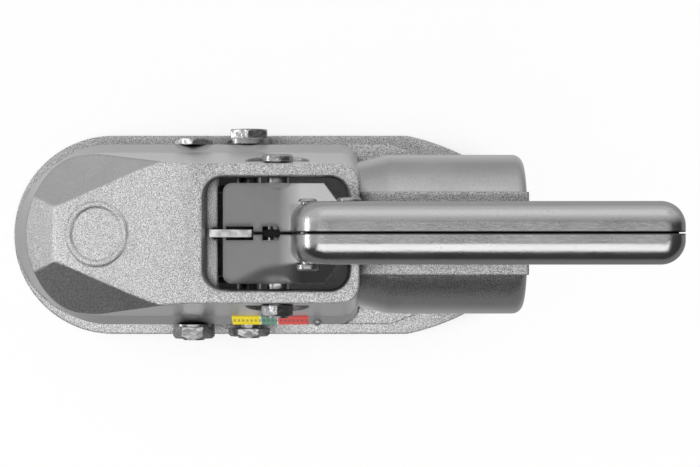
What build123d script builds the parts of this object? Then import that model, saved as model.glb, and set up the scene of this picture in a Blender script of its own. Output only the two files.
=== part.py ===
from build123d import *
import math
import os

os.makedirs("parts", exist_ok=True)

# The ball and the drawtube that the coupler joins. The origin is the ball's centre, +X runs
# back to the drawtube and +Z up.
ball_diameter = 50
socket_gap = 0.4
tube_diameter = 60
tube_gap = 0.15

# Housing: skirt flange, belt above it, faceted nose
flange_half = 47.6
flange_bottom = -20
flange_top = -11
flange_straight_end = 141
flange_tail_middle = (157, 43)
flange_tail_end = 170.5
flange_tail_half = 37
belt_half = 42.2
belt_top = 12
belt_straight_end = 133
belt_end = 152
belt_end_half = 35
nose_foot = 47.3
nose_belt = 38.5
nose_knee = 37
nose_rim = 32
nose_crease_x = -22.7
nose_crease_z = 27
nose_crease_half = 12.5
nose_crease_round = 14
nose_corner_x = -37
nose_corner_z = 13.5
nose_corner_half = 18.8
lower_slope_x = 16.8
lower_slope_z = 45.3
lower_slope_half = 28.5
upper_slope_x = 32
upper_slope_z = 52.9
ring_x = -2.4
ring_radius = 14.8
ring_width = 2.4
ring_rise = 0.9

# Housing: side walls and the collar round the well
knee_step = 4.3
knee_z = 22.5
rim_half = 31.3
rim_z = 57.5
rim_front_x = 42
collar_corner = 9
well_front = 48.9
handle_rear_gap = 4.5
well_half = 24.5
well_corner = 8
well_edge = 1.8
rear_wall = 5.5
wall = 5.4
channel_half = 26
channel_top = 24
ledge_length = 5.1
ledge_z = 50
ledge_thickness = 7
socket_lip = 2.2
nub_x = 98.4
nub_y = -40.6
nub_z = 14.5
nub_radius = 2.3

# Housing: tail tube that holds the drawtube
tail_axis_z = 18.5
tail_radius = 37
tail_front_radius = 33.5
tail_cone = 13
bore_length = 70
tail_edge = 5
web = 11.5
land_half = 18.6
land_rise = 1
tail_bolt_radius = 6.25
tail_bolt_spacing = 40
tail_bolt_edge = 17

# Handle: hinge, travel, and sheet thickness
pivot_x = 80.9
pivot_z = 49
pivot_radius = 5
pivot_head_radius = 7.1
pivot_head_height = 3.3
pivot_nut_flats = 14
pivot_nut_height = 4.9
spot_face_radius = 14.5
spot_face_y = 32.4
lift_angle = 38
sheet = 2.5
seam = 0.7
box_front = 56.8
box_half = 22.5
box_rear = 108
box_rear_half = 14.4
box_chamfer_x = 102.1
box_corner = 4
box_bottom = 43
box_front_z = 58
box_top_z = 65
box_side_drop = 6
box_shoulder = (75, 63.8)
roof_half = 13
grip_front = 87
grip_crest_x = 91
crown_radius = 16
grip_length = 152
grip_half = 13.9
grip_tip_corner = 10.8
grip_bottom_z = 65
grip_height = 24
grip_tilt = 1.2
grip_round = 9
grip_knee = 10
bush_radius = 6.2
cheek_pivot_radius = 12
cheek_slot_radius = 7.9
hand_slot_front = 58.2
hand_slot_rear = 70.6
hand_slot_half = 3.1
top_hole_front = 74.7
top_hole_rear = 81.7

# Jaw, its guide bolt and its sliding cross bolt
jaw_travel = 17
jaw_advance = 8.2
bolt_radius = 5
guide_x = 40
guide_z = 6
sleeve_radius = 6
sleeve_half = 19.4
slider_x = 65.8
slider_z = 1
slider_bush_radius = 5.5
jaw_front = 6
jaw_half = 24
jaw_bottom = -16
jaw_block_front = 47
jaw_block_rear = 80
jaw_block_half = 19.3
jaw_block_top = 12
jaw_block_bottom = -12
hex_flats = 17
hex_chamfer = 1.1
slider_washer_radius = 11.35
slider_washer_height = 2.7
slider_head_height = 4.4
slider_nut_height = 3.8
slider_neck = 2.2
guide_head_height = 2.9
guide_nut_height = 5.6
guide_washer_height = 1.2
guide_washer_radius = 9.6
thread_end = 0.8

# Main spring
spring_z = -1
spring_radius = 9.5
spring_wire = 3
spring_turns = 5
rod_radius = 4
rod_length = 18
rod_depth = 8
seat_radius = 14
seat_height = 3

# Catch that slides in the handle, and its return spring
catch_grip = 1.2
catch_thickness = 3.5
catch_nose_x = 50.6
catch_nose_top = 58.5
catch_nose_bottom = 54
catch_plate_rear = 69.6
catch_stem_top = 58
catch_stem_bottom = 55.6
catch_tail_x = 87.5
catch_tail_length = 1.6
catch_spring_z = 53.5
catch_spring_radius = 3.6
catch_wire = 0.8
catch_turns = 5
catch_pin_radius = 1.5

# Cross rivets of the handle
rivet_places = [(95, 69.5), (113.4, 74)]
rivet_radius = 3
rivet_head_radius = 5.4
rivet_head_height = 2.8
rivet_domes = [(4.2, 1.3), (5.4, 1.7)]
spacer_wall = 1

# Wear label
label_front = 58.7
label_lengths = [13, 7.8, 14.8]
label_thickness = 0.3
label_margin = 0.4

# Fits
run_gap = 0.05
side_gap = 0.5
slot_gap = 0.1
slot_end_gap = 0.3

# Worked-out sizes
socket_radius = ball_diameter / 2 + socket_gap
bore_radius = tube_diameter / 2 + tube_gap
knee_half = belt_half - knee_step
well_rear = box_rear + handle_rear_gap
collar_rear = well_rear + rear_wall
tail_cone_end = collar_rear + tail_cone
bore_front = well_rear + web
tail_end = bore_front + bore_length
grip_knee_x = box_rear + grip_knee
grip_tip = box_rear + grip_length
tail_top = tail_axis_z + tail_radius + land_rise
travel_per_radian = jaw_travel / math.radians(lift_angle)
jaw_arm_top = guide_z - sleeve_radius - 0.2
tail_bolt_x = tail_end - tail_bolt_edge - tail_bolt_spacing / 2
beyond = flange_half + 2 * nose_crease_round
nose_slope = (nose_crease_z - nose_corner_z) / (nose_crease_x - nose_corner_x)
ring_slope = math.atan2(lower_slope_z - nose_crease_z, lower_slope_x - nose_crease_x)
ring_plane = Plane(
    origin=(ring_x, 0, nose_crease_z + (ring_x - nose_crease_x) * math.tan(ring_slope)),
    x_dir=(math.cos(ring_slope), 0, math.sin(ring_slope)),
    z_dir=(-math.sin(ring_slope), 0, math.cos(ring_slope)),
)


def facet(first, second, third):
    """Plane through three points whose normal leans away from the middle plane y = 0."""
    first, second, third = Vector(first), Vector(second), Vector(third)
    normal = (second - first).cross(third - first)
    if normal.Y * first.Y < 0:
        normal = normal * -1
    return Plane(origin=first, x_dir=second - first, z_dir=normal)


def slider_in_handle(angle):
    """Where the cross bolt stands in the handle's own frame when the handle is lifted."""
    shift = travel_per_radian * angle
    along = slider_x + shift - pivot_x
    up = slider_z - pivot_z
    return (
        pivot_x + along * math.cos(angle) + up * math.sin(angle),
        pivot_z - along * math.sin(angle) + up * math.cos(angle),
    )


def cross_rod(radius, y_from, y_to, x, z):
    """Round bar across the coupler between two y values."""
    with BuildPart() as rod:
        with BuildSketch(Plane.XZ.offset(-max(y_from, y_to))):
            with Locations((x, z)):
                Circle(radius)
        extrude(amount=abs(y_to - y_from))
    return rod.part


def hex_piece(flats, y_from, y_to, x, z, turn):
    """Hexagonal bolt head or nut blank lying across the coupler, chamfered at its outer end."""
    outer = max(y_from, y_to, key=abs)
    with BuildPart() as barrel:
        add(cross_rod(flats / math.sqrt(3), y_from, y_to, x, z))
        chamfer(barrel.edges().filter_by(lambda e: abs(e.center().Y - outer) < 0.01), hex_chamfer)
    with BuildPart() as blank:
        with BuildSketch(Plane.XZ.offset(-max(y_from, y_to))):
            with Locations((x, z)):
                RegularPolygon(flats / 2, 6, major_radius=False, rotation=turn)
        extrude(amount=abs(y_to - y_from))
        add(barrel.part, mode=Mode.INTERSECT)
    return blank.part


def cross_tube(outer, inner, y_from, y_to, x, z):
    """Round tube across the coupler between two y values."""
    with BuildPart() as tube:
        with BuildSketch(Plane.XZ.offset(-max(y_from, y_to))):
            with Locations((x, z)):
                Circle(outer)
                Circle(inner, mode=Mode.SUBTRACT)
        extrude(amount=abs(y_to - y_from))
    return tube.part


# Belt: flares out to the flange round the nose, and runs back beside the tail
with BuildPart() as belt:
    for length, height in ((nose_foot, flange_top), (nose_belt, belt_top)):
        with BuildSketch(Plane.XY.offset(height)):
            with BuildLine():
                EllipticalCenterArc((0, 0), length, belt_half, start_angle=90, arc_size=180)
                Polyline(
                    (0, -belt_half),
                    (belt_straight_end, -belt_half),
                    (belt_end, -belt_end_half),
                    (belt_end, belt_end_half),
                    (belt_straight_end, belt_half),
                    (0, belt_half),
                )
            make_face()
    loft(ruled=True)

# Body over the belt: bevelled and drafted walls, the nose and the collar round the well
with BuildPart() as body:
    for length, half, height in (
        (nose_belt, belt_half, belt_top),
        (nose_knee, knee_half, knee_z),
        (nose_rim, rim_half, rim_z),
    ):
        with BuildSketch(Plane.XY.offset(height)):
            with BuildLine():
                EllipticalCenterArc((0, 0), length, half, start_angle=90, arc_size=180)
                Polyline((0, -half), (collar_rear, -half), (collar_rear, half), (0, half))
            make_face()
    loft(ruled=True)
    fillet(
        body.edges().filter_by(
            lambda e: e.center().X > collar_rear - 0.1 and abs(e.tangent_at(0.5).Z) > 0.5
        ),
        collar_corner,
    )

# Slopes of the nose and its two corner facets
with BuildPart() as nose:
    add(belt.part)
    add(body.part)
    with BuildSketch(Plane.XZ):
        with BuildLine():
            FilletPolyline(
                (-beyond, -flange_half),
                (-beyond, nose_crease_z - (nose_crease_x + beyond) * nose_slope),
                (nose_crease_x, nose_crease_z),
                (lower_slope_x, lower_slope_z),
                (upper_slope_x, upper_slope_z),
                (rim_front_x, rim_z),
                (beyond + belt_end, rim_z),
                (beyond + belt_end, -flange_half),
                radius=nose_crease_round,
                close=True,
            )
        make_face()
    extrude(amount=flange_half, both=True, mode=Mode.INTERSECT)
    for side in (1, -1):
        split(
            bisect_by=facet(
                (nose_crease_x, side * nose_crease_half, nose_crease_z),
                (lower_slope_x, side * lower_slope_half, lower_slope_z),
                (nose_corner_x, side * nose_corner_half, nose_corner_z),
            ),
            keep=Keep.BOTTOM,
        )

# Hollow of the well, wider towards the bottom
with BuildPart() as well:
    with BuildSketch(Plane.YZ.offset(well_front)):
        with BuildLine():
            Polyline(
                (-belt_half + wall, flange_bottom - 1),
                (-belt_half + wall, belt_top - 1),
                (-knee_half + wall, knee_z - 2),
                (-well_half, rim_z + 1),
                (well_half, rim_z + 1),
                (knee_half - wall, knee_z - 2),
                (belt_half - wall, belt_top - 1),
                (belt_half - wall, flange_bottom - 1),
                close=True,
            )
        make_face()
    extrude(amount=well_rear - well_front)
    fillet(
        well.edges().filter_by(lambda e: e.center().Z > knee_z and abs(e.tangent_at(0.5).Z) > 0.5),
        well_corner,
    )
    # Bevelled mouth of the well
    for height, growth in ((rim_z - well_edge, 0), (rim_z + well_edge, 2 * well_edge)):
        with BuildSketch(Plane.XY.offset(height)):
            with Locations(((well_front + well_rear) / 2, 0)):
                RectangleRounded(
                    well_rear - well_front + 2 * growth, 2 * (well_half + growth), well_corner + growth
                )
    loft()

with BuildPart() as housing:
    with BuildSketch(Plane.XY.offset(flange_bottom)):
        Circle(flange_half)
        with BuildLine():
            Polyline(
                (flange_straight_end, -flange_half),
                (0, -flange_half),
                (0, flange_half),
                (flange_straight_end, flange_half),
            )
            ThreePointArc(
                (flange_straight_end, flange_half), flange_tail_middle, (flange_tail_end, flange_tail_half)
            )
            Line((flange_tail_end, flange_tail_half), (flange_tail_end, -flange_tail_half))
            ThreePointArc(
                (flange_tail_end, -flange_tail_half),
                (flange_tail_middle[0], -flange_tail_middle[1]),
                (flange_straight_end, -flange_half),
            )
        make_face()
    extrude(amount=flange_top - flange_bottom)
    add(nose.part)
    with BuildSketch(Plane.XZ):
        with BuildLine():
            Polyline(
                (collar_rear - 1, tail_axis_z),
                (collar_rear - 1, tail_axis_z + tail_front_radius),
                (tail_cone_end, tail_axis_z + tail_radius),
                (tail_end, tail_axis_z + tail_radius),
                (tail_end, tail_axis_z),
                close=True,
            )
        make_face()
    revolve(axis=Axis((0, 0, tail_axis_z), (1, 0, 0)))
    fillet(
        housing.edges().filter_by(GeomType.CIRCLE).filter_by(
            lambda e: abs(e.center().X - tail_end) < 0.1 and e.radius > bore_radius + 1
        ),
        tail_edge,
    )

    with BuildSketch(Plane.XZ):
        with BuildLine():
            Polyline(
                (collar_rear - 1, tail_axis_z),
                (collar_rear - 1, tail_axis_z + tail_front_radius),
                (tail_cone_end, tail_top),
                (tail_end, tail_top),
                (tail_end, 2 * tail_axis_z - tail_top),
                (collar_rear - 1, 2 * tail_axis_z - tail_top),
                close=True,
            )
        make_face()
    extrude(amount=land_half, both=True)
    # Bore for the drawtube, from the rear
    with BuildSketch(Plane.YZ.offset(bore_front)):
        with Locations((0, tail_axis_z)):
            Circle(bore_radius)
    extrude(amount=tail_end - bore_front + 1, mode=Mode.SUBTRACT)
    # Vertical holes for the two drawtube bolts
    with BuildSketch(Plane.XY.offset(flange_bottom - 1)):
        with Locations((tail_bolt_x, 0)):
            with GridLocations(tail_bolt_spacing, 0, 2, 1):
                Circle(tail_bolt_radius)
    extrude(amount=tail_top - flange_bottom + 2, mode=Mode.SUBTRACT)
    # Socket for the ball, with a lip under its front half
    with Locations((0, 0, 0)):
        Sphere(socket_radius, mode=Mode.SUBTRACT)
    with BuildSketch(Plane.XY.offset(flange_bottom)):
        Circle(socket_radius - socket_lip)
    extrude(amount=-flange_bottom, mode=Mode.SUBTRACT)
    # Channel under the nose that the jaw slides in
    with BuildSketch(Plane.XY.offset(flange_bottom - 1)):
        with Locations((well_front / 2, 0)):
            Rectangle(well_front + 2, 2 * channel_half)
    extrude(amount=channel_top - flange_bottom + 1, mode=Mode.SUBTRACT)
    add(well.part, mode=Mode.SUBTRACT)
    # Ledge that the catch closes over, relieved in the middle
    with BuildSketch(Plane.XY.offset(ledge_z - ledge_thickness)):
        with Locations((well_front - 1, 0)):
            Rectangle(ledge_length + 1, 2 * well_half + 1, align=(Align.MIN, Align.CENTER))
        with Locations((catch_nose_x + catch_grip, 0)):
            Rectangle(
                ledge_length, catch_thickness + 1.5, align=(Align.MIN, Align.CENTER), mode=Mode.SUBTRACT
            )
    extrude(amount=ledge_thickness)
    # Spot faces and holes for the handle's pivot bolt
    for side in (1, -1):
        add(
            cross_rod(spot_face_radius, side * spot_face_y, side * flange_half, pivot_x, pivot_z),
            mode=Mode.SUBTRACT,
        )
    add(cross_rod(pivot_radius + run_gap, -flange_half, flange_half, pivot_x, pivot_z), mode=Mode.SUBTRACT)
    # Hole for the guide bolt and slots for the sliding cross bolt
    add(cross_rod(bolt_radius + run_gap, -flange_half, flange_half, guide_x, guide_z), mode=Mode.SUBTRACT)
    with BuildSketch(Plane.XZ):
        with Locations((slider_x + jaw_travel / 2, slider_z)):
            SlotCenterToCenter(jaw_travel + 2 * slot_end_gap, 2 * (slider_bush_radius + slot_gap))
    extrude(amount=flange_half, both=True, mode=Mode.SUBTRACT)
    # Hole in the rear web for the spring's guide rod
    with BuildSketch(Plane.YZ.offset(well_rear - 1)):
        with Locations((0, spring_z)):
            Circle(rod_radius + 1)
    extrude(amount=bore_front - well_rear + 2, mode=Mode.SUBTRACT)
    # Casting nub on the bevel behind the label
    with Locations((nub_x, nub_y, nub_z)):
        Sphere(nub_radius)
    # Plain raised ring on the nose
    with BuildSketch(ring_plane):
        Ellipse(ring_radius / math.cos(ring_slope), ring_radius)
        Ellipse(
            (ring_radius - ring_width) / math.cos(ring_slope), ring_radius - ring_width, mode=Mode.SUBTRACT
        )
    extrude(amount=ring_rise)

housing.part.label = "housing"
export_step(housing.part, "parts/housing.step")

# Guide bolt in front of the well, with the sleeve that holds the jaw down
guide_nut_seat = belt_half + guide_washer_height
with BuildPart() as jaw_guide_bolt:
    add(cross_rod(bolt_radius, -guide_nut_seat - guide_nut_height - thread_end, belt_half, guide_x, guide_z))
    add(hex_piece(hex_flats, belt_half, belt_half + guide_head_height, guide_x, guide_z, 30))
jaw_guide_bolt.part.label = "jaw_guide_bolt"
export_step(jaw_guide_bolt.part, "parts/jaw_guide_bolt.step")

with BuildPart() as jaw_guide_sleeve:
    add(cross_tube(sleeve_radius, bolt_radius + run_gap, -sleeve_half, sleeve_half, guide_x, guide_z))
jaw_guide_sleeve.part.label = "jaw_guide_sleeve"
export_step(jaw_guide_sleeve.part, "parts/jaw_guide_sleeve.step")

with BuildPart() as jaw_guide_washer:
    add(
        cross_tube(
            guide_washer_radius, bolt_radius + run_gap, -guide_nut_seat, -belt_half, guide_x, guide_z
        )
    )
jaw_guide_washer.part.label = "jaw_guide_washer"
export_step(jaw_guide_washer.part, "parts/jaw_guide_washer.step")

with BuildPart() as jaw_guide_nut:
    add(hex_piece(hex_flats, -guide_nut_seat - guide_nut_height, -guide_nut_seat, guide_x, guide_z, 0))
    add(
        cross_rod(bolt_radius + run_gap, -guide_nut_seat - guide_nut_height, -guide_nut_seat, guide_x, guide_z),
        mode=Mode.SUBTRACT,
    )
jaw_guide_nut.part.label = "jaw_guide_nut"
export_step(jaw_guide_nut.part, "parts/jaw_guide_nut.step")

# Jaw: low front arm that cups the ball from behind, tall block that carries the cross bolt
with BuildPart() as jaw:
    with BuildSketch(Plane.XY.offset(jaw_bottom)) as arm:
        with Locations((jaw_front, 0)):
            Rectangle(jaw_block_front - jaw_front, 2 * jaw_half, align=(Align.MIN, Align.CENTER))
        fillet(arm.vertices().group_by(Axis.X)[-1], 4)
    extrude(amount=jaw_arm_top - jaw_bottom)
    with BuildSketch(Plane.XZ):
        with BuildLine():
            Polyline(
                (jaw_block_front - 12, jaw_bottom),
                (jaw_block_rear - 10, jaw_bottom),
                (jaw_block_rear, jaw_block_bottom + 4),
                (jaw_block_rear, jaw_block_top - 4),
                (jaw_block_rear - 4, jaw_block_top),
                (jaw_block_front + 5, jaw_block_top),
                (jaw_block_front, jaw_block_top - 5),
                (jaw_block_front, jaw_arm_top),
                (jaw_block_front - 12, jaw_arm_top),
                close=True,
            )
        make_face()
    extrude(amount=jaw_block_half, both=True)
    with Locations((-jaw_advance, 0, 0)):
        Sphere(socket_radius, mode=Mode.SUBTRACT)
    add(cross_rod(bolt_radius + run_gap, -flange_half, flange_half, slider_x, slider_z), mode=Mode.SUBTRACT)
    with BuildSketch(Plane.YZ.offset(jaw_block_rear)):
        with Locations((0, spring_z)):
            Circle(rod_radius + run_gap)
    extrude(amount=-rod_depth, mode=Mode.SUBTRACT)
jaw.part.label = "jaw"
export_step(jaw.part, "parts/jaw.step")

# Cross bolt that slides with the jaw in the wall slots, its bushes, washer and nut
slider_head_seat = belt_half + side_gap + slider_washer_height
slider_nut_seat = belt_half + slider_neck
with BuildPart() as cross_bolt:
    add(cross_rod(bolt_radius, -slider_nut_seat - slider_nut_height - thread_end, slider_head_seat, slider_x, slider_z))
    add(hex_piece(hex_flats, slider_head_seat, slider_head_seat + slider_head_height, slider_x, slider_z, 30))
cross_bolt.part.label = "cross_bolt"
export_step(cross_bolt.part, "parts/cross_bolt.step")

with BuildPart() as cross_bolt_bushes:
    add(
        cross_tube(
            slider_bush_radius, bolt_radius + run_gap, box_half + side_gap, belt_half + side_gap, slider_x, slider_z
        )
    )
    add(
        cross_tube(
            slider_bush_radius, bolt_radius + run_gap, -slider_nut_seat, -box_half - side_gap, slider_x, slider_z
        )
    )
cross_bolt_bushes.part.label = "cross_bolt_bushes"
export_step(cross_bolt_bushes.part, "parts/cross_bolt_bushes.step")

with BuildPart() as cross_bolt_washer:
    add(
        cross_tube(
            slider_washer_radius, bolt_radius + run_gap, belt_half + side_gap, slider_head_seat, slider_x, slider_z
        )
    )
cross_bolt_washer.part.label = "cross_bolt_washer"
export_step(cross_bolt_washer.part, "parts/cross_bolt_washer.step")

with BuildPart() as cross_bolt_nut:
    add(hex_piece(hex_flats, -slider_nut_seat - slider_nut_height, -slider_nut_seat, slider_x, slider_z, 0))
    add(
        cross_rod(
            bolt_radius + run_gap, -slider_nut_seat - slider_nut_height, -slider_nut_seat, slider_x, slider_z
        ),
        mode=Mode.SUBTRACT,
    )
cross_bolt_nut.part.label = "cross_bolt_nut"
export_step(cross_bolt_nut.part, "parts/cross_bolt_nut.step")

# Main spring on its guide rod, between the jaw and a seat on the rear web
with BuildPart() as spring_rod:
    with BuildSketch(Plane.YZ.offset(jaw_block_rear - rod_depth)):
        with Locations((0, spring_z)):
            Circle(rod_radius)
    extrude(amount=rod_depth + rod_length)
    chamfer(spring_rod.edges().group_by(Axis.X)[-1], 1)
spring_rod.part.label = "spring_rod"
export_step(spring_rod.part, "parts/spring_rod.step")

with BuildPart() as spring_seat:
    with BuildSketch(Plane.YZ.offset(well_rear - seat_height)):
        with Locations((0, spring_z)):
            Circle(seat_radius)
            Circle(rod_radius + 1, mode=Mode.SUBTRACT)
    extrude(amount=seat_height)
spring_seat.part.label = "spring_seat"
export_step(spring_seat.part, "parts/spring_seat.step")


def coil_spring(mean_radius, wire, turns, x_from, x_to, z):
    """Compression spring along X whose end coils just touch the two seats."""
    height = x_to - x_from - wire
    with BuildPart() as coil:
        with BuildLine():
            path = Helix(height / turns, height, mean_radius, center=(x_from + wire / 2, 0, z), direction=(1, 0, 0))
        with BuildSketch(Plane(origin=path @ 0, z_dir=path % 0)):
            Circle(wire / 2)
        sweep(is_frenet=True)
    return coil.part


with BuildPart() as main_spring:
    add(
        coil_spring(
            spring_radius - spring_wire / 2,
            spring_wire,
            spring_turns,
            jaw_block_rear,
            well_rear - seat_height,
            spring_z,
        )
    )
main_spring.part.label = "main_spring"
export_step(main_spring.part, "parts/main_spring.step")

# Handle pivot: bolt through the collar, nut, and a bush between the handle shells
with BuildPart() as handle_pivot_bolt:
    add(cross_rod(pivot_radius, -spot_face_y - pivot_nut_height - thread_end, spot_face_y, pivot_x, pivot_z))
    add(cross_rod(pivot_head_radius, spot_face_y, spot_face_y + pivot_head_height, pivot_x, pivot_z))
    chamfer(handle_pivot_bolt.edges().group_by(Axis.Y)[-1], 0.8)
handle_pivot_bolt.part.label = "handle_pivot_bolt"
export_step(handle_pivot_bolt.part, "parts/handle_pivot_bolt.step")

with BuildPart() as handle_pivot_nut:
    add(hex_piece(pivot_nut_flats, -spot_face_y - pivot_nut_height, -spot_face_y, pivot_x, pivot_z, 30))
    add(
        cross_rod(pivot_radius + run_gap, -spot_face_y - pivot_nut_height, -spot_face_y, pivot_x, pivot_z),
        mode=Mode.SUBTRACT,
    )
handle_pivot_nut.part.label = "handle_pivot_nut"
export_step(handle_pivot_nut.part, "parts/handle_pivot_nut.step")

shell_inside = box_half - sheet
with BuildPart() as handle_bush:
    add(cross_tube(bush_radius, pivot_radius + run_gap, -shell_inside, shell_inside, pivot_x, pivot_z))
handle_bush.part.label = "handle_bush"
export_step(handle_bush.part, "parts/handle_bush.step")


def box_volume(inset, drop):
    """Body of the handle over the pivot: creased roof, chamfered rear corners."""
    floor = box_bottom - drop
    with BuildPart() as volume:
        with BuildSketch(Plane.XY.offset(floor)) as plan:
            with BuildLine():
                Polyline(
                    (box_front, -box_half),
                    (box_chamfer_x, -box_half),
                    (box_rear, -box_rear_half),
                    (box_rear, box_rear_half),
                    (box_chamfer_x, box_half),
                    (box_front, box_half),
                    close=True,
                )
            make_face()
            fillet(plan.vertices().group_by(Axis.X)[0], box_corner)
            if inset:
                offset(amount=-inset, kind=Kind.INTERSECTION)
        extrude(amount=box_top_z - floor)
        with BuildSketch(Plane.YZ):
            with BuildLine():
                Polyline(
                    (-box_half, floor - inset),
                    (-box_half, box_top_z - box_side_drop),
                    (-roof_half, box_top_z),
                    (roof_half, box_top_z),
                    (box_half, box_top_z - box_side_drop),
                    (box_half, floor - inset),
                    close=True,
                )
            make_face()
            if inset:
                offset(amount=-inset, kind=Kind.INTERSECTION)
        extrude(amount=grip_tip, mode=Mode.INTERSECT)
        with BuildSketch(Plane.XZ):
            with BuildLine():
                Polyline(
                    (box_front, floor - inset),
                    (box_front, box_front_z),
                    box_shoulder,
                    (grip_front, box_top_z),
                    (box_rear, box_top_z),
                    (box_rear, floor - inset),
                    close=True,
                )
            make_face()
            if inset:
                offset(amount=-inset, kind=Kind.INTERSECTION)
        extrude(amount=box_half + 1, both=True, mode=Mode.INTERSECT)
    return volume.part


def grip_volume(inset):
    """Hollow hand grip that rises out of the handle's body and runs back over the tail."""
    slope = math.tan(math.radians(grip_tilt))
    rise = (grip_tip - grip_knee_x) * slope
    with BuildPart() as volume:
        with BuildSketch(Plane.XZ):
            with BuildLine():
                crown = FilletPolyline(
                    (grip_front, box_top_z - 2),
                    (grip_crest_x, grip_bottom_z + grip_height - (grip_knee_x - grip_crest_x) * slope),
                    (grip_tip, grip_bottom_z + grip_height + rise),
                    radius=crown_radius,
                )
                Polyline(
                    crown @ 1,
                    (grip_tip, grip_bottom_z + rise),
                    (grip_knee_x, grip_bottom_z),
                    (box_rear - 2, grip_bottom_z - 6),
                    (grip_front, grip_bottom_z - 9),
                    crown @ 0,
                )
            make_face()
            if inset:
                offset(amount=-inset, kind=Kind.INTERSECTION)
        extrude(amount=grip_half - inset, both=True)
        corners = volume.edges().filter_by(Axis.Z).filter_by(lambda e: e.center().X > grip_tip - inset - 1)
        fillet(corners, grip_tip_corner - inset)
        for low, front in ((False, grip_front + 3), (True, grip_knee_x)):
            rims = volume.edges().filter_by(
                lambda e: e.center().X > front
                and abs(e.tangent_at(0.5).Z) < 0.9
                and (e.center().Z < grip_bottom_z + grip_height / 2) == low
                and (abs(e.center().Y) > 0.5 or e.center().X > grip_tip - inset - 1)
            )
            fillet(rims, grip_round - inset)
    return volume.part


cam_points = [slider_in_handle(math.radians(lift_angle) * share) for share in (0, 0.5, 1)]

with BuildPart() as handle_left:
    add(box_volume(0, 0))
    add(grip_volume(0))
    add(box_volume(sheet, 30), mode=Mode.SUBTRACT)
    add(grip_volume(sheet), mode=Mode.SUBTRACT)
    # Cheek with the pivot hole and the cam slot for the cross bolt
    with BuildSketch(Plane.XZ.offset(-box_half)):
        with Locations((pivot_x, pivot_z)):
            Circle(cheek_pivot_radius)
        with Locations(cam_points[0], cam_points[2]):
            Circle(cheek_slot_radius)
        make_hull()
    extrude(amount=sheet)
    split(bisect_by=Plane.XZ.offset(-seam / 2), keep=Keep.BOTTOM)
    add(cross_rod(pivot_radius + run_gap, -box_half - 1, box_half + 1, pivot_x, pivot_z), mode=Mode.SUBTRACT)
    with BuildSketch(Plane.XZ.offset(-box_half - 1)):
        with BuildLine():
            cam = ThreePointArc(*cam_points)
        SlotArc(cam, 2 * (bolt_radius + slot_gap))
    extrude(amount=sheet + 2, mode=Mode.SUBTRACT)
    for rivet_x, rivet_z in rivet_places:
        add(cross_rod(rivet_radius + run_gap, 0, box_half, rivet_x, rivet_z), mode=Mode.SUBTRACT)
        add(
            cross_rod(rivet_radius + spacer_wall + run_gap, 0, grip_half - sheet, rivet_x, rivet_z),
            mode=Mode.SUBTRACT,
        )
    # Hand slot over the catch, the square hole behind it and the catch's guide notch
    with BuildSketch(Plane.XY.offset(box_front_z - sheet - 2)):
        with BuildLine():
            Polyline(
                (hand_slot_front, 0),
                (hand_slot_front, hand_slot_half),
                (hand_slot_rear, hand_slot_half),
                (hand_slot_rear, 0),
                close=True,
            )
        make_face()
        with BuildLine():
            Polyline(
                (top_hole_front, 0),
                (top_hole_front, hand_slot_half),
                (top_hole_rear, hand_slot_half),
                (top_hole_rear + 1.2, 0),
                close=True,
            )
        make_face()
    extrude(amount=box_top_z, mode=Mode.SUBTRACT)
    with BuildSketch(Plane.YZ.offset(box_front - 1)):
        with Locations((0, (catch_nose_bottom + catch_nose_top) / 2)):
            Rectangle(catch_thickness + 2 * slot_gap, catch_nose_top - catch_nose_bottom + 2 * slot_gap)
    extrude(amount=sheet + 1.5, mode=Mode.SUBTRACT)
    with BuildSketch(Plane.YZ.offset(box_rear - sheet - 1)):
        with Locations((0, catch_spring_z)):
            Circle(catch_pin_radius + slot_gap)
    extrude(amount=sheet + 2, mode=Mode.SUBTRACT)
handle_left.part.label = "handle_left"
export_step(handle_left.part, "parts/handle_left.step")

with BuildPart() as handle_right:
    add(mirror(handle_left.part, about=Plane.XZ))
handle_right.part.label = "handle_right"
export_step(handle_right.part, "parts/handle_right.step")

# Cross rivets of the handle with their spacer tubes
with BuildPart() as handle_rivets:
    for (rivet_x, rivet_z), (dome_radius, dome_height) in zip(rivet_places, rivet_domes):
        add(cross_rod(rivet_radius, -grip_half, grip_half, rivet_x, rivet_z))
        add(cross_rod(dome_radius, grip_half, grip_half + dome_height, rivet_x, rivet_z))
    fillet(
        handle_rivets.edges().filter_by(GeomType.CIRCLE).filter_by(lambda e: e.center().Y > grip_half + 0.1), 1.2
    )
    front_x, front_z = rivet_places[0]
    add(cross_rod(rivet_head_radius, -grip_half - rivet_head_height, -grip_half, front_x, front_z))
    chamfer(handle_rivets.edges().group_by(Axis.Y)[0], 0.8)
handle_rivets.part.label = "handle_rivets"
export_step(handle_rivets.part, "parts/handle_rivets.step")

with BuildPart() as rivet_spacers:
    for rivet_x, rivet_z in rivet_places:
        add(
            cross_tube(
                rivet_radius + spacer_wall,
                rivet_radius + run_gap,
                sheet - grip_half,
                grip_half - sheet,
                rivet_x,
                rivet_z,
            )
        )
rivet_spacers.part.label = "rivet_spacers"
export_step(rivet_spacers.part, "parts/rivet_spacers.step")

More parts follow.
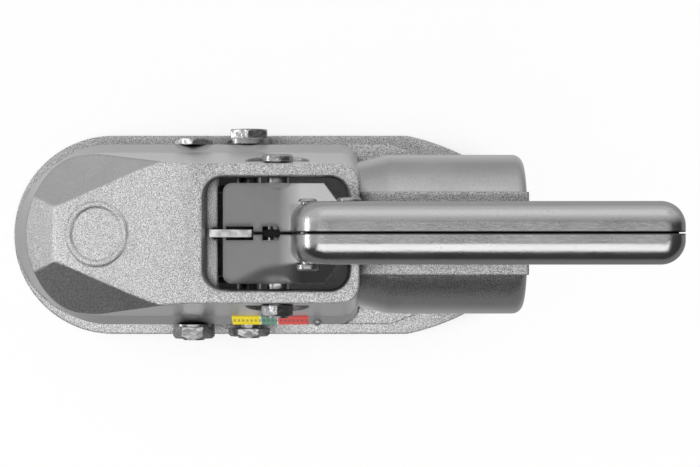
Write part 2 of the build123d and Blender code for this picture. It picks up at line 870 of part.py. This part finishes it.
# Catch: plate on edge whose nose stands over the ledge, a stem over the bush, and a tail
# that its return spring pushes forward
with BuildPart() as catch:
    with BuildSketch(Plane.XZ):
        with BuildLine():
            Polyline(
                (catch_nose_x, catch_nose_bottom),
                (catch_nose_x, catch_nose_top - 1.5),
                (catch_nose_x + 1.5, catch_nose_top),
                (catch_plate_rear, catch_nose_top),
                (catch_plate_rear + 1, catch_stem_top),
                (catch_tail_x + catch_tail_length, catch_stem_top),
                (catch_tail_x + catch_tail_length, catch_spring_z - 4.2),
                (catch_tail_x, catch_spring_z - 4.2),
                (catch_tail_x, catch_stem_bottom),
                (catch_plate_rear - 6, catch_stem_bottom),
                (catch_plate_rear - 7.6, catch_nose_bottom),
                close=True,
            )
        make_face()
    extrude(amount=catch_thickness / 2, both=True)
    with BuildSketch(Plane.YZ.offset(catch_tail_x + catch_tail_length)):
        with Locations((0, catch_spring_z)):
            Circle(catch_pin_radius)
    extrude(amount=box_rear + 1 - catch_tail_x - catch_tail_length)
catch.part.label = "catch"
export_step(catch.part, "parts/catch.step")

with BuildPart() as catch_spring:
    add(
        coil_spring(
            catch_spring_radius - catch_wire / 2,
            catch_wire,
            catch_turns,
            catch_tail_x + catch_tail_length,
            box_rear - sheet,
            catch_spring_z,
        )
    )
catch_spring.part.label = "catch_spring"
export_step(catch_spring.part, "parts/catch_spring.step")

# Wear label on the bevel of the wall, above the slot
bevel_length = math.hypot(belt_half - knee_half, knee_z - belt_top)
with BuildPart() as wear_label:
    with BuildSketch(
        Plane(
            origin=(label_front, -belt_half, belt_top),
            x_dir=(1, 0, 0),
            z_dir=(0, belt_top - knee_z, belt_half - knee_half),
        )
    ):
        with Locations((0, label_margin)):
            Rectangle(sum(label_lengths), bevel_length - 2 * label_margin, align=(Align.MIN, Align.MIN))
    extrude(amount=label_thickness)
wear_label.part.label = "wear_label"
export_step(wear_label.part, "parts/wear_label.step")
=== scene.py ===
"""Trailer ball coupler seen from straight above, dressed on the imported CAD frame."""

import math

import bpy
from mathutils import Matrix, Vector


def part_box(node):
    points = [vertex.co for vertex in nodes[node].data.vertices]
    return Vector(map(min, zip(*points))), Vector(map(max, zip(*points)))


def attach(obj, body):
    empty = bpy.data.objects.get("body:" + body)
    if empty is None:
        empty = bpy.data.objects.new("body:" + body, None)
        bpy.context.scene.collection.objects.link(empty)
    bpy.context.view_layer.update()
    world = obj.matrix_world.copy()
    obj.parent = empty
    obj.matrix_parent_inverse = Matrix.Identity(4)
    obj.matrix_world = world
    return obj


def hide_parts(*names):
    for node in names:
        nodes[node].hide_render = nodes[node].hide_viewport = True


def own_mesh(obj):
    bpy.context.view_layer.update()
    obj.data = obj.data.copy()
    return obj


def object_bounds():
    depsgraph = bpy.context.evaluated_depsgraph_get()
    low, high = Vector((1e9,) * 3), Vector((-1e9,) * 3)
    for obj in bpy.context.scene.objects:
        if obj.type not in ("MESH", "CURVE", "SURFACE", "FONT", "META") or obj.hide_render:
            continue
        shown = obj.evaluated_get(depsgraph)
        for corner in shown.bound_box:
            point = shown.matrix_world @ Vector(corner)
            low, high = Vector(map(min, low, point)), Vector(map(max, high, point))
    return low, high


MM = 0.001

# The photograph's camera: straight down, a little off the middle line, with the frame shifted back
PICTURE_WIDTH = 700
SENSOR = 36.0
CAMERA_HEIGHT = 1.0
FOCAL_PIXELS = 2104
VIEW_CENTRE_X = 0.1137
CAMERA_Y = -0.0095
FRAME_SHIFT_PIXELS = 21.1

# Where the studio is bright, and the two places that its lamps face
BRIGHT_SIDE = (-0.27, 0.9, 0.0)
LIT_PLACE = (0.12, 0.0, 0.03)
ABOVE_NOSE = (0.0, 0.0, 0.03)

# Floor: its size and colour, the reach of the part's shadow, and how much of it metal shows
FLOOR_SIZE = 1.8
PAPER = (0.92, 0.92, 0.92)
SHADOW_REACH = 80 * MM
FLOOR_IN_METAL_DARK = 0.3
FLOOR_IN_METAL = 0.58

# Casting: rounding of its edges, how far a hollow's walls shade each other, and its colours, with a
# painted light on steep walls and a painted shade in hollows
CAST_EDGE = 1.6 * MM
HOLLOW_REACH = 35 * MM
WALL_DARK = (0.42, 0.42, 0.425)
WALL_LIGHT = (0.5, 0.5, 0.5)
STEEP_WALL_PAINTED_LIGHT = (0.85, 0.85, 0.85)
SAND_DARK = (0.26, 0.26, 0.26)
SAND_LIGHT = (0.76, 0.76, 0.76)
HOLLOW_PAINTED_SHADE = (0.03, 0.03, 0.03)

# Handle: where its body ends and its grip begins, the rounding of both, and their colours
GRIP_START = 0.088
BOX_EDGE = 4.0 * MM
GRIP_EDGE = 1.0 * MM
BOX_GREY = (0.27, 0.27, 0.275)
GRIP_GREY = (0.48, 0.48, 0.485)
SPECK_GREY = (0.2, 0.2, 0.2)
SEAM_DARK = (0.04, 0.04, 0.04)

# Strip inside the grip that closes the seam, painted near black as the seam's shade
SEAM_LAP_SETBACK = 7.5 * MM
SEAM_LAP_INSET = 2.6 * MM
SEAM_LAP_Z = 81 * MM
SEAM_LAP_WIDTH = 3.0 * MM
SEAM_LAP_THICKNESS = 1.5 * MM
SEAM_LAP_PAINTED_SHADE = (0.05, 0.05, 0.05)

# Catch: where its nose plate ends, the plate's edge and colours, and the painted shade of its stem
CATCH_PLATE_REAR = 0.0696
PLATE_EDGE = 0.6 * MM
PLATE_DARK = (0.45, 0.45, 0.45)
PLATE_LIGHT = (0.8, 0.8, 0.79)
STEM_PAINTED_SHADE = (0.02, 0.02, 0.02)

# Fasteners, springs and jaw: rounding of their edges, and their colours
FASTENER_EDGE = 0.8 * MM
FASTENER_GREY = (0.4, 0.4, 0.405)
WIRE_EDGE = 0.3 * MM
WIRE_GREY = (0.45, 0.45, 0.47)
JAW_EDGE = 1.0 * MM
JAW_GREY = (0.16, 0.16, 0.17)

# Spring wires, the turns of each spring, and how finely a turn is drawn
MAIN_SPRING_WIRE = 3.0 * MM
CATCH_SPRING_WIRE = 0.8 * MM
SPRING_TURNS = 5
COIL_STEPS = 24

# Wear label: bands along X, the line between them and its colours
LABEL_BANDS = (13.0 * MM, 7.8 * MM, 14.8 * MM)
LABEL_LINE = 0.5 * MM
LABEL_YELLOW = (0.9, 0.72, 0.01)
LABEL_GREEN = (0.13, 0.3, 0.22)
LABEL_RED = (0.68, 0.07, 0.06)
LABEL_PALE = (0.75, 0.75, 0.72)
LABEL_INK = (0.05, 0.05, 0.05)

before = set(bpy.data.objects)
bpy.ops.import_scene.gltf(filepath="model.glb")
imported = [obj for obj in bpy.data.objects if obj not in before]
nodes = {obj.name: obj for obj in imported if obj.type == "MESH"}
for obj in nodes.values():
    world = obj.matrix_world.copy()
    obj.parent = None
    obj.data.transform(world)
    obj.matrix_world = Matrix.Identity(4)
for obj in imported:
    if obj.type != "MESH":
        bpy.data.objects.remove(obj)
cad_low, cad_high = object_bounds()


def new_material(name, color, metallic, roughness):
    """Principled material with flat values; returns it with its tree and shader."""
    material = bpy.data.materials.new(name)
    material.use_nodes = True
    tree = material.node_tree
    shader = tree.nodes["Principled BSDF"]
    shader.inputs["Base Color"].default_value = (*color, 1)
    shader.inputs["Metallic"].default_value = metallic
    shader.inputs["Roughness"].default_value = roughness
    return material, tree, shader


def put(tree, kind, values=None, **settings):
    """New node of a tree, with its settings and unlinked inputs."""
    node = tree.nodes.new(kind)
    for key, value in settings.items():
        setattr(node, key, value)
    for key, value in (values or {}).items():
        node.inputs[key].default_value = value
    return node


def own_place(tree):
    """The piece's own coordinates, as one vector."""
    return put(tree, "ShaderNodeTexCoord").outputs["Object"]


def axes_of(tree, vector):
    """X, Y and Z of a vector, by name."""
    node = put(tree, "ShaderNodeSeparateXYZ")
    tree.links.new(vector, node.inputs[0])
    return node.outputs


def noise(tree, coords, scale, detail=2.0, rough=0.5):
    """Value of a noise texture."""
    node = put(tree, "ShaderNodeTexNoise", {"Scale": scale, "Detail": detail, "Roughness": rough})
    tree.links.new(coords, node.inputs["Vector"])
    return node.outputs["Fac"]


def remap(tree, value, span, new_span):
    """Value scaled from one span to another, clamped."""
    node = put(
        tree,
        "ShaderNodeMapRange",
        {"From Min": span[0], "From Max": span[1], "To Min": new_span[0], "To Max": new_span[1]},
    )
    tree.links.new(value, node.inputs["Value"])
    return node.outputs["Result"]


def calculate(tree, operation, *values):
    """Result of an operation on one or two values."""
    node = put(tree, "ShaderNodeMath", operation=operation)
    for value, socket in zip(values, node.inputs):
        tree.links.new(value, socket)
    return node.outputs[0]


def blend_colors(tree, factor, first, second):
    """Mix of two colours, each either a tuple or a socket."""
    node = put(tree, "ShaderNodeMix", data_type="RGBA")
    tree.links.new(factor, node.inputs[0])
    for socket, color in ((node.inputs[6], first), (node.inputs[7], second)):
        if isinstance(color, tuple):
            socket.default_value = (*color, 1)
        else:
            tree.links.new(color, socket)
    return node.outputs[2]


def band_colors(tree, value, bands):
    """Flat colours along a value, each given with the value where it starts."""
    node = put(tree, "ShaderNodeValToRGB")
    node.color_ramp.interpolation = "CONSTANT"
    elements = node.color_ramp.elements
    starts = [start for start, color in bands]
    elements[1].position = starts[1]
    for start in starts[2:]:
        elements.new(start)
    for element, (start, color) in zip(elements, bands):
        element.color = (*color, 1)
    tree.links.new(value, node.inputs["Fac"])
    return node.outputs["Color"]


def mix_shaders(tree, share, first, second):
    """Mix of two shaders, where the share is the second one's."""
    node = put(tree, "ShaderNodeMixShader")
    for value, socket in zip((share, first, second), node.inputs):
        tree.links.new(value, socket)
    return node.outputs[0]


def toward_light(tree, place):
    """How far a place or direction lies towards the bright side of the studio, ahead and to +Y."""
    node = put(tree, "ShaderNodeVectorMath", {1: BRIGHT_SIDE}, operation="DOT_PRODUCT")
    tree.links.new(place, node.inputs[0])
    return node.outputs["Value"]


def openness(tree, reach):
    """How open a place is to its surroundings, from 0 in a deep hollow to 1."""
    return put(tree, "ShaderNodeAmbientOcclusion", {"Distance": reach}, samples=8).outputs["AO"]


def rounded_normal(tree, radius):
    """Normal that reads edges as rounded by the radius, a length or a socket."""
    node = put(tree, "ShaderNodeBevel", samples=4)
    if isinstance(radius, float):
        node.inputs["Radius"].default_value = radius
    else:
        tree.links.new(radius, node.inputs["Radius"])
    return node.outputs["Normal"]


def bump(tree, height, distance, strength, normal):
    """Bump on top of a normal; returns the new normal."""
    node = put(tree, "ShaderNodeBump", {"Strength": strength, "Distance": distance})
    tree.links.new(height, node.inputs["Height"])
    tree.links.new(normal, node.inputs["Normal"])
    return node.outputs["Normal"]


def cast_zinc():
    """Galvanised sand casting: grainy where it faces up, smoother on its walls, with painted light:
    fewer grains on faces towards the bright side, lighter steep walls, and hollows painted dark as
    shade.
    """
    material, tree, shader = new_material("zinc_casting", WALL_LIGHT, metallic=1.0, roughness=0.42)
    place = put(tree, "ShaderNodeTexCoord")
    coords = place.outputs["Object"]
    facing = axes_of(tree, place.outputs["Normal"])
    faces_up = remap(tree, facing["Z"], (0.45, 0.85), (0.12, 1.0))
    # Painted light: faces towards the bright side get fewer grains, so they read as smooth and softly
    # lit
    grain_on_shaded_side = remap(tree, facing["Y"], (0.12, 0.45), (1.0, 0.25))
    sandy_and_shaded = calculate(tree, "MULTIPLY", faces_up, grain_on_shaded_side)
    steep = remap(tree, facing["Z"], (0.25, 0.5), (1.0, 0.0))
    grain = noise(tree, coords, scale=2200, rough=0.8)
    lumps = noise(tree, coords, scale=700)
    patches = noise(tree, coords, scale=45, detail=3.0)

    # Walls in soft patches with a painted light on the steep ones, tops in light and dark grains, and
    # a painted shade that turns hollows nearly black
    patchy = remap(tree, patches, (0.3, 0.7), (0.0, 1.0))
    slope_tone = blend_colors(tree, patchy, WALL_DARK, WALL_LIGHT)
    # Steep walls take a lighter tone, a painted light
    wall_tone = blend_colors(tree, steep, slope_tone, STEEP_WALL_PAINTED_LIGHT)
    grainy = remap(tree, grain, (0.43, 0.58), (0.0, 1.0))
    sand_tone = blend_colors(tree, grainy, SAND_DARK, SAND_LIGHT)
    tone = blend_colors(tree, sandy_and_shaded, wall_tone, sand_tone)
    # Painted shade: hollows turn nearly black where ambient occlusion finds them shut in
    painted_hollow_shade = remap(tree, openness(tree, HOLLOW_REACH), (0.15, 0.5), (1.0, 0.0))
    color = blend_colors(tree, painted_hollow_shade, tone, HOLLOW_PAINTED_SHADE)
    tree.links.new(color, shader.inputs["Base Color"])
    tree.links.new(remap(tree, sandy_and_shaded, (0.0, 1.0), (0.32, 0.3)), shader.inputs["Roughness"])

    # Waves all over, and lumps and grains where it is sandy and turned from the bright side
    lump_height = calculate(tree, "MULTIPLY", lumps, sandy_and_shaded)
    grain_height = calculate(tree, "MULTIPLY", grain, sandy_and_shaded)
    wavy = bump(tree, patches, 1.2 * MM, 0.3, rounded_normal(tree, CAST_EDGE))
    lumpy = bump(tree, lump_height, 0.3 * MM, 0.5, wavy)
    rough = bump(tree, grain_height, 0.18 * MM, 0.9, lumpy)
    tree.links.new(rough, shader.inputs["Normal"])
    return material


def bright_zinc(name, color, roughness, edge, wave):
    """Plated metal with a soft edge and a faint waviness."""
    material, tree, shader = new_material(name, color, metallic=1.0, roughness=roughness)
    coords = own_place(tree)
    waves = noise(tree, coords, scale=160)
    fine = noise(tree, coords, scale=900)
    uneven = remap(tree, waves, (0.3, 0.7), (roughness * 0.8, roughness * 1.25))
    tree.links.new(uneven, shader.inputs["Roughness"])
    wavy = bump(tree, waves, 1.0 * MM, wave, rounded_normal(tree, edge))
    tree.links.new(bump(tree, fine, 0.1 * MM, 0.15, wavy), shader.inputs["Normal"])
    return material


def handle_zinc():
    """Zinc of the handle: darker and duller over the pivot, lighter and glossier along the grip."""
    grey = (0.6, 0.6, 0.6)
    material, tree, shader = new_material("handle_zinc", grey, metallic=1.0, roughness=0.3)
    coords = own_place(tree)
    axes = axes_of(tree, coords)
    toward_grip = remap(tree, axes["X"], (GRIP_START - 6 * MM, GRIP_START + 4 * MM), (0.0, 1.0))
    waves = noise(tree, coords, scale=55, detail=3.0)
    specks = noise(tree, coords, scale=900, detail=3.0, rough=0.7)

    # Two tones, darker specks in groups, and shade along the edges of the seam
    clean = blend_colors(tree, toward_grip, BOX_GREY, GRIP_GREY)
    grouped = remap(tree, waves, (0.4, 0.6), (0.2, 1.0))
    spots = calculate(tree, "MULTIPLY", remap(tree, specks, (0.3, 0.42), (0.35, 0.0)), grouped)
    spotted = blend_colors(tree, spots, clean, SPECK_GREY)
    from_seam = calculate(tree, "ABSOLUTE", axes["Y"])
    at_seam = remap(tree, from_seam, (0.5 * MM, 1.1 * MM), (1.0, 0.0))
    color = blend_colors(tree, at_seam, spotted, SEAM_DARK)
    tree.links.new(color, shader.inputs["Base Color"])

    satin = remap(tree, waves, (0.3, 0.7), (0.04, -0.04))
    worn = remap(tree, toward_grip, (0.0, 1.0), (0.58, 0.22))
    tree.links.new(calculate(tree, "ADD", satin, worn), shader.inputs["Roughness"])
    edge = remap(tree, toward_grip, (0.0, 1.0), (BOX_EDGE, GRIP_EDGE))
    wavy = bump(tree, waves, 1.2 * MM, 0.12, rounded_normal(tree, edge))
    tree.links.new(bump(tree, specks, 0.1 * MM, 0.55, wavy), shader.inputs["Normal"])
    return material


def catch_steel():
    """Bright nose plate of the catch, with its stem painted near black as shade inside the handle."""
    grey = (0.6, 0.6, 0.59)
    material, tree, shader = new_material("catch_steel", grey, metallic=1.0, roughness=0.35)
    coords = own_place(tree)
    waves = noise(tree, coords, scale=260)
    patchy = remap(tree, waves, (0.35, 0.65), (0.0, 1.0))
    plate = blend_colors(tree, patchy, PLATE_DARK, PLATE_LIGHT)
    plate_end = (CATCH_PLATE_REAR, CATCH_PLATE_REAR + MM)
    # Painted shade: behind the plate, inside the handle, the stem is near black
    behind = remap(tree, axes_of(tree, coords)["X"], plate_end, (0.0, 1.0))
    color = blend_colors(tree, behind, plate, STEM_PAINTED_SHADE)
    tree.links.new(color, shader.inputs["Base Color"])
    tree.links.new(rounded_normal(tree, PLATE_EDGE), shader.inputs["Normal"])
    return material


def label_film():
    """Three bands along X with a thin pale line between them, and plain dashes along their middle."""
    yellow = (0.8, 0.7, 0.05)
    material, tree, shader = new_material("label_film", yellow, metallic=0.0, roughness=0.45)
    low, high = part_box("wear_label")
    coords = own_place(tree)
    axes = axes_of(tree, coords)
    length = sum(LABEL_BANDS)
    line = LABEL_LINE / length
    green = LABEL_BANDS[0] / length
    red = (LABEL_BANDS[0] + LABEL_BANDS[1]) / length
    bands = [
        (0.0, LABEL_YELLOW),
        (green, LABEL_PALE),
        (green + line, LABEL_GREEN),
        (red, LABEL_PALE),
        (red + line, LABEL_RED),
    ]
    along = remap(tree, axes["X"], (low.x, low.x + length), (0.0, 1.0))
    film = band_colors(tree, along, bands)

    across = remap(tree, axes["Z"], (low.z, high.z), (0.0, 1.0))
    row = band_colors(tree, across, [(0.0, (0, 0, 0)), (0.36, (1, 1, 1)), (0.66, (0, 0, 0))])
    waves = put(tree, "ShaderNodeTexWave", {"Scale": 160.0, "Distortion": 0.0}, bands_direction="X")
    tree.links.new(coords, waves.inputs["Vector"])
    dashes = remap(tree, waves.outputs["Fac"], (0.3, 0.5), (0.0, 0.55))
    inked = calculate(tree, "MULTIPLY", dashes, row)
    tree.links.new(blend_colors(tree, inked, film, LABEL_INK), shader.inputs["Base Color"])
    return material


def dark_iron():
    """Plain cast iron of the jaw."""
    material, tree, shader = new_material("jaw_iron", JAW_GREY, metallic=0.7, roughness=0.5)
    grain = noise(tree, own_place(tree), scale=900, detail=3.0)
    grainy = bump(tree, grain, 0.5 * MM, 0.35, rounded_normal(tree, JAW_EDGE))
    tree.links.new(grainy, shader.inputs["Normal"])
    return material


def coil(node, wire, body):
    """Spring in place of a CAD one, riding with its body."""
    low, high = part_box(node)
    mean_radius = (high.y - low.y - wire) / 2
    middle = (low.z + high.z) / 2
    start = low.x + wire / 2
    end = high.x - wire / 2
    curve = bpy.data.curves.new(node + "_path", "CURVE")
    curve.dimensions = "3D"
    curve.bevel_depth = wire / 2
    curve.bevel_resolution = 4
    curve.use_fill_caps = True
    steps = SPRING_TURNS * COIL_STEPS
    line = curve.splines.new("POLY")
    line.points.add(steps)
    for step, point in enumerate(line.points):
        angle = 2 * math.pi * step / COIL_STEPS
        x = start + (end - start) * step / steps
        point.co = (x, mean_radius * math.cos(angle), middle + mean_radius * math.sin(angle), 1)
    path = bpy.data.objects.new(node + "_path", curve)
    piece = bpy.data.objects.new(node + "_coil", bpy.data.meshes.new_from_object(path))
    bpy.data.objects.remove(path)
    bpy.context.scene.collection.objects.link(piece)
    for face in piece.data.polygons:
        face.use_smooth = True
    piece.data.materials.clear()
    piece.data.materials.append(finishes["spring_steel"])
    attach(piece, body)
    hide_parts(node)
    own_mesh(piece)


def lamp(name, place, target, length, width, power, in_metal=True):
    """Soft box that faces a target; metal may leave it out."""
    data = bpy.data.lights.new(name, "AREA")
    data.shape = "RECTANGLE"
    data.size = length
    data.size_y = width
    data.energy = power
    box = bpy.data.objects.new(name, data)
    bpy.context.scene.collection.objects.link(box)
    box.location = place
    box.rotation_mode = "QUATERNION"
    box.rotation_quaternion = (Vector(target) - Vector(place)).to_track_quat("-Z", "Y")
    box.visible_glossy = in_metal


def floor_paper():
    """White paper: shaded by the part where the camera sees it, and dimmer where metal shows it."""
    material, tree, shader = new_material("floor_paper", PAPER, metallic=0.0, roughness=0.9)
    glow = put(tree, "ShaderNodeEmission", {"Color": (1, 1, 1, 1)})
    rays = put(tree, "ShaderNodeLightPath").outputs
    near_light = toward_light(tree, own_place(tree))
    in_metal = remap(tree, near_light, (-0.1, 0.1), (FLOOR_IN_METAL_DARK, FLOOR_IN_METAL))
    mirrored = calculate(tree, "MULTIPLY", rays["Is Glossy Ray"], in_metal)
    strength = calculate(tree, "MAXIMUM", rays["Is Camera Ray"], mirrored)
    tree.links.new(strength, glow.inputs["Strength"])
    lit = remap(tree, openness(tree, SHADOW_REACH), (0.2, 0.62), (0.0, 0.95))
    seen_white = calculate(tree, "MULTIPLY", rays["Is Camera Ray"], lit)
    share = calculate(tree, "MAXIMUM", seen_white, rays["Is Glossy Ray"])
    surface = mix_shaders(tree, share, shader.outputs[0], glow.outputs[0])
    tree.links.new(surface, tree.nodes["Material Output"].inputs["Surface"])
    return material


def studio_world():
    """Surroundings: white behind the part, bright on one side of it for light and metal."""
    world = bpy.data.worlds.new("studio")
    world.use_nodes = True
    tree = world.node_tree
    around = tree.nodes["Background"]
    around.inputs["Color"].default_value = (1, 1, 1, 1)
    behind = put(tree, "ShaderNodeBackground", {"Color": (1, 1, 1, 1), "Strength": 1.0})
    direction = put(tree, "ShaderNodeTexCoord").outputs["Generated"]
    side_glow = remap(tree, toward_light(tree, direction), (-0.12, 0.35), (0.06, 0.85))
    tree.links.new(side_glow, around.inputs["Strength"])
    rays = put(tree, "ShaderNodeLightPath").outputs
    seen = calculate(tree, "MAXIMUM", rays["Is Camera Ray"], rays["Is Transmission Ray"])
    surface = mix_shaders(tree, seen, around.outputs[0], behind.outputs[0])
    tree.links.new(surface, tree.nodes["World Output"].inputs["Surface"])
    return world


finishes = {
    "zinc_casting": cast_zinc(),
    "handle_zinc": handle_zinc(),
    "plated_steel": bright_zinc("plated_steel", FASTENER_GREY, 0.26, FASTENER_EDGE, wave=0.8),
    "catch_steel": catch_steel(),
    "spring_steel": bright_zinc("spring_steel", WIRE_GREY, 0.35, WIRE_EDGE, wave=0.1),
    "jaw_iron": dark_iron(),
    "label_film": label_film(),
}

node_finish = {
    "housing": "zinc_casting",
    "jaw": "jaw_iron",
    "handle_left": "handle_zinc",
    "handle_right": "handle_zinc",
    "catch": "catch_steel",
    "main_spring": "spring_steel",
    "catch_spring": "spring_steel",
    "wear_label": "label_film",
}

# The catch has its own finish; parts not listed are plated steel
for name, obj in nodes.items():
    finish = node_finish.get(name, "plated_steel")
    obj.data.materials.clear()
    obj.data.materials.append(finishes[finish])

# Turned-in edges of the two handle halves, which close the seam inside the grip, painted near black
# as the shade in the seam
bpy.ops.mesh.primitive_cube_add(size=1)
seam_lap = bpy.context.object
seam_lap.name = "seam_lap"
seam_front = GRIP_START + SEAM_LAP_SETBACK
seam_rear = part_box("handle_left")[1].x - SEAM_LAP_INSET
seam_lap.location = ((seam_front + seam_rear) / 2, 0, SEAM_LAP_Z)
seam_lap.scale = (seam_rear - seam_front, SEAM_LAP_WIDTH, SEAM_LAP_THICKNESS)
lap_shade_material = new_material("seam_painted_shade", SEAM_LAP_PAINTED_SHADE, metallic=0.5, roughness=0.6)[0]
seam_lap.data.materials.append(lap_shade_material)
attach(seam_lap, "handle")

coil("main_spring", MAIN_SPRING_WIRE, "housing")
coil("catch_spring", CATCH_SPRING_WIRE, "handle")

# Studio: white floor, soft boxes and surroundings
bpy.ops.mesh.primitive_plane_add(size=FLOOR_SIZE, location=(VIEW_CENTRE_X, 0, cad_low.z))
floor = bpy.context.object
floor.name = "floor"
floor.data.materials.append(floor_paper())

lamp("soft_box", (0.1, 1.15, 0.95), LIT_PLACE, length=1.5, width=0.9, power=1.4)
lamp("top_box", (0.0, -0.4, 1.03), ABOVE_NOSE, length=1.4, width=0.7, power=5.6)
lamp("front_box", (-0.95, 0.0, 0.34), LIT_PLACE, length=0.5, width=0.14, power=1.6)
lamp("side_fill", (0.1, -0.8, 0.5), LIT_PLACE, length=0.6, width=0.4, power=3.5, in_metal=False)
bpy.context.scene.world = studio_world()

camera_data = bpy.data.cameras.new("camera")
camera_data.sensor_width = SENSOR
camera_data.lens = FOCAL_PIXELS / PICTURE_WIDTH * SENSOR
camera_data.shift_y = FRAME_SHIFT_PIXELS / PICTURE_WIDTH
camera = bpy.data.objects.new("camera", camera_data)
bpy.context.scene.collection.objects.link(camera)
camera.location = (VIEW_CENTRE_X, CAMERA_Y, CAMERA_HEIGHT)
bpy.context.scene.camera = camera
bpy.context.scene.view_settings.view_transform = "Standard"
